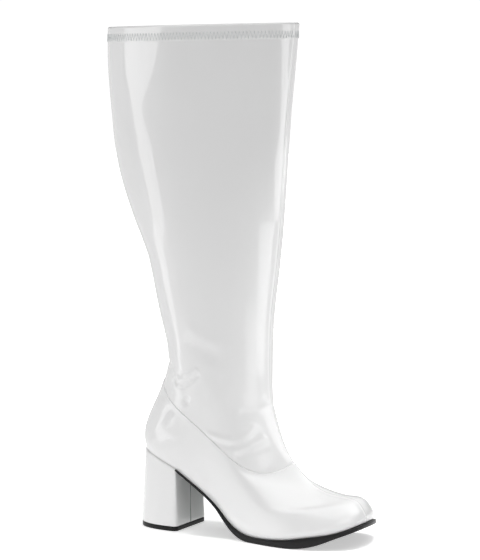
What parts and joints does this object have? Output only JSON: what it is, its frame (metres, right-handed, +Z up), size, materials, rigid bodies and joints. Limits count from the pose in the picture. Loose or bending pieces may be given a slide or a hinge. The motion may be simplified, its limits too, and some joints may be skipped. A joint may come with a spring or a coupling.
{
  "type": "knee boot",
  "caption": "Right knee-high boot with a hollow shaft open at the collar, a blunt toe, a thin raised sole and a straight block heel.",
  "frame": {"origin": "on the heel's rest face, midway along it, on the floor", "axes": "+X to the toe, +Y to the big toe side, +Z up along the shaft"},
  "size_m": [0.2706, 0.1053, 0.4802],
  "materials": {
    "upper_patent": "high-gloss white patent",
    "heel_patent": "high-gloss white patent over the heel block",
    "outsole_rubber": "satin black",
    "tip_rubber": "satin black",
    "insole_board": "matt sock lining"
  },
  "bodies": {
    "root": {"upper": "upper_patent", "outsole": "outsole_rubber", "heel_block": "heel_patent", "top_piece": "tip_rubber", "insole": "insole_board"}
  },
  "joints": []
}
